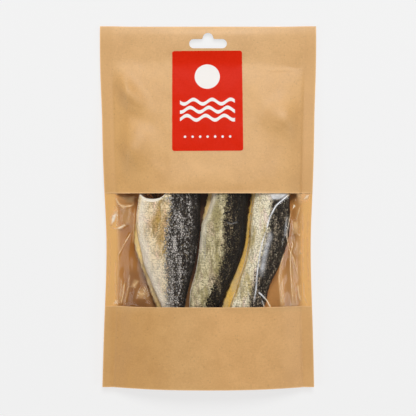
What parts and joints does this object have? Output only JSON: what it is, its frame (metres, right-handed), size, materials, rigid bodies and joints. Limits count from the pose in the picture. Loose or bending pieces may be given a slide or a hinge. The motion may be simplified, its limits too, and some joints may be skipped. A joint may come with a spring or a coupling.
{
  "type": "windowed pouch of dried roach",
  "caption": "Kraft-paper stand-up pouch lying on its back, with a hang slot, a plain red label and a clear window band that shows headless gutted dried roach side by side.",
  "frame": {"origin": "on the surface that the pouch lies on, under the middle of its outline", "axes": "+X across the pouch, +Y up the pouch towards its hang slot, +Z out of its front"},
  "size_m": [0.181, 0.3014, 0.0197],
  "materials": {
    "kraft_paper": "matt brown kraft laminate with fine fibres",
    "clear_film": "thin clear glossy film",
    "label_paper": "gloss-coated red sticker",
    "dried_fish": "dry scaly skin, silvery and dark on the back, cream on the belly"
  },
  "bodies": {
    "root": {"pouch": "kraft_paper", "window_film": "clear_film", "label": "label_paper", "fish_left": "dried_fish", "fish_middle": "dried_fish", "fish_right": "dried_fish"}
  },
  "joints": []
}
